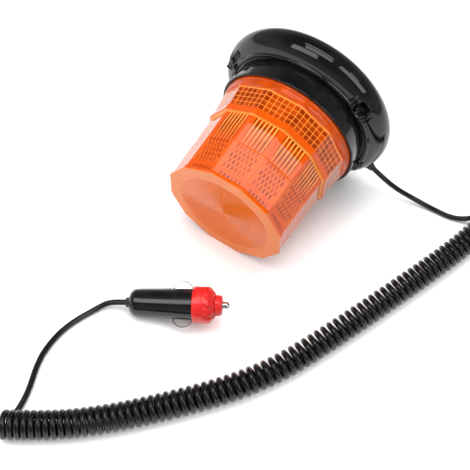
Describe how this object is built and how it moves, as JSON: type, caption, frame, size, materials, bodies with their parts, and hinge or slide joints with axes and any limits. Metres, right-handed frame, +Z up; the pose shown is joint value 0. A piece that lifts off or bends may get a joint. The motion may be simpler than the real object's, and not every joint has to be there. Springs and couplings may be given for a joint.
{
  "type": "magnetic warning beacon",
  "caption": "Amber warning beacon with a faceted ribbed lens, a round black magnetic base, a curly lead and a fused vehicle socket plug.",
  "frame": {"origin": "on the table, under the middle of the beacon, which lies on its side on the rolled rim of its base and on one edge of its lens", "axes": "+Z up; -Y the way the lens points, so +Y runs along the beacon towards its magnetic base; +X to the side on which the cord leaves"},
  "size_m": [0.1946, 0.298, 0.1112],
  "materials": {
    "black_gloss": "polished black moulding",
    "black_matt": "matt black moulding",
    "pad_rubber": "soft matt rubber",
    "ferrite": "dark sintered ferrite",
    "zinc_steel": "zinc plated",
    "screw_steel": "bright zinc",
    "circuit_board": "solder resist over laminate",
    "capacitor_sleeve": "shrunk sleeve",
    "chip_resin": "moulded resin",
    "terminal_green": "moulded nylon",
    "amber_lens": "clear amber moulding",
    "white_plastic": "white moulding",
    "led_board": "dark green solder resist",
    "led_yellow": "phosphor under clear resin",
    "cord_rubber": "satin black",
    "core_insulation": "PVC insulation",
    "plug_black": "satin black moulding",
    "plug_red": "red moulding",
    "bright_nickel": "nickel plated brass",
    "fuse_glass": "clear tube",
    "brass_part": "bare brass"
  },
  "bodies": {
    "beacon": {"base_dish": "black_gloss", "bottom_cover": "black_matt", "rubber_pad": "pad_rubber", "ring_magnet": "ferrite", "steel_yoke": "zinc_steel", "cover_screws": "screw_steel", "driver_board": "circuit_board", "board_screws": "screw_steel", "driver_capacitors": "capacitor_sleeve", "driver_inductor": "ferrite", "driver_chips": "chip_resin", "board_terminal": "terminal_green", "lens": "amber_lens", "lens_gasket": "pad_rubber", "led_tower": "white_plastic", "side_led_boards": "led_board", "side_leds": "led_yellow", "top_led_board": "led_board", "top_leds": "led_yellow", "cord_grommet": "cord_rubber", "cord_clamp": "black_matt", "cord_cores": "core_insulation", "plug_barrel": "plug_black", "plug_ferrule": "cord_rubber", "plug_red_cap": "plug_red", "spring_seat": "brass_part", "fuse_spring": "bright_nickel", "contact_bridge": "brass_part", "cord_lead": "cord_rubber", "cord_curl": "cord_rubber", "cord_tail": "cord_rubber"},
    "tip": {"plug_tip": "bright_nickel", "plug_fuse_glass": "fuse_glass", "plug_fuse_ends": "bright_nickel"},
    "nose_ring": {"plug_nose_ring": "plug_red"},
    "left_contact": {"contact_spring_left": "bright_nickel"},
    "right_contact": {"contact_spring_right": "bright_nickel"}
  },
  "joints": [
    {"name": "tip_press", "type": "slide", "parent": "beacon", "child": "tip", "axis": [-0.8761, -0.4349, -0.2079], "range_m": [0, 0.003], "stiffness_N_per_m": 600, "springref_m": -0.003},
    {"name": "nose_unscrew", "type": "hinge", "parent": "beacon", "child": "nose_ring", "pos_m": [0.02698, -0.09569, 0.01779], "axis": [0.8761, 0.4349, 0.2079], "range_deg": [0, 360]},
    {"name": "left_contact_press", "type": "slide", "parent": "beacon", "child": "left_contact", "axis": [0.4729, -0.6919, -0.5456], "range_m": [0, 0.0034], "stiffness_N_per_m": 400, "springref_m": -0.001},
    {"name": "right_contact_press", "type": "slide", "parent": "beacon", "child": "right_contact", "axis": [-0.4729, 0.6919, 0.5456], "range_m": [0, 0.0034], "stiffness_N_per_m": 400, "springref_m": -0.001}
  ]
}
